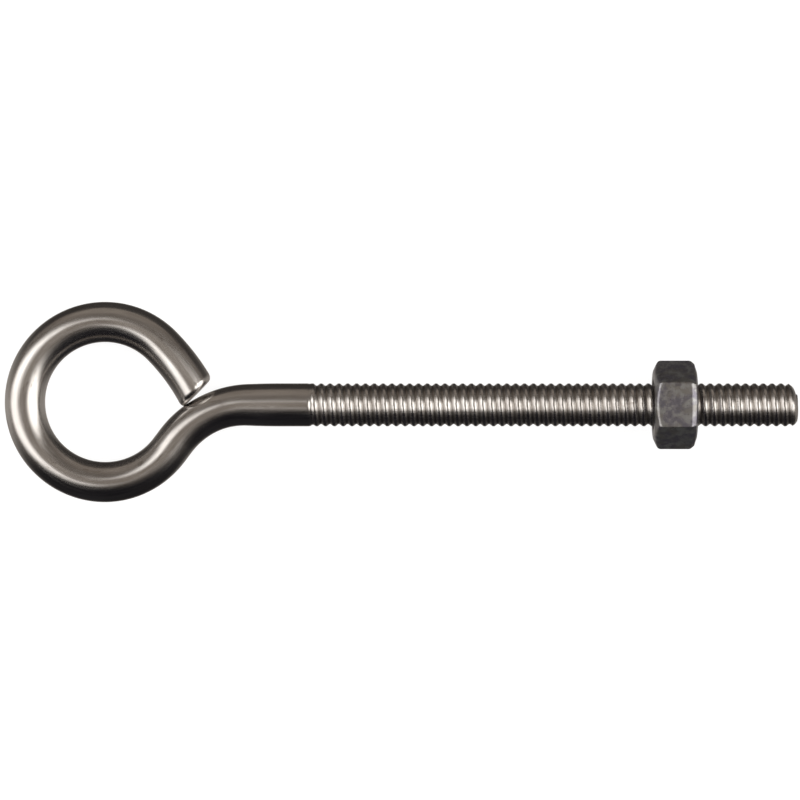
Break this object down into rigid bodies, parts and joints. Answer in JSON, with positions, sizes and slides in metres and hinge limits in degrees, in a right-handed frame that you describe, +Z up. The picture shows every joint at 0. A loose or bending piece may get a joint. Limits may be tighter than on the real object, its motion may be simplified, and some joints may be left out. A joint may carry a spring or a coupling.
{
  "type": "eye bolt",
  "caption": "Turned eye bolt: a steel rod bent into an open eye at one end and threaded at the other, with a hex nut on the thread.",
  "frame": {"origin": "centre of the flat face that ends the thread, on the shank's axis", "axes": "+X along the shank, from the eye towards the threaded end; +Z up, square to the plane of the eye; +Y in the plane of the eye, towards its open side"},
  "size_m": [0.1138, 0.0287, 0.011],
  "materials": {
    "bolt_steel": "smooth drawn stainless steel, satin to bright, with fine marks along the rod",
    "nut_steel": "matt, slightly mottled stainless steel"
  },
  "bodies": {
    "bolt": {"eye_bolt": "bolt_steel"},
    "nut": {"hex_nut": "nut_steel"}
  },
  "joints": [
    {"name": "nut_travel", "type": "slide", "parent": "bolt", "child": "nut", "axis": [1, 0, 0], "range_m": [-0.04699, 0.01778]}
  ]
}
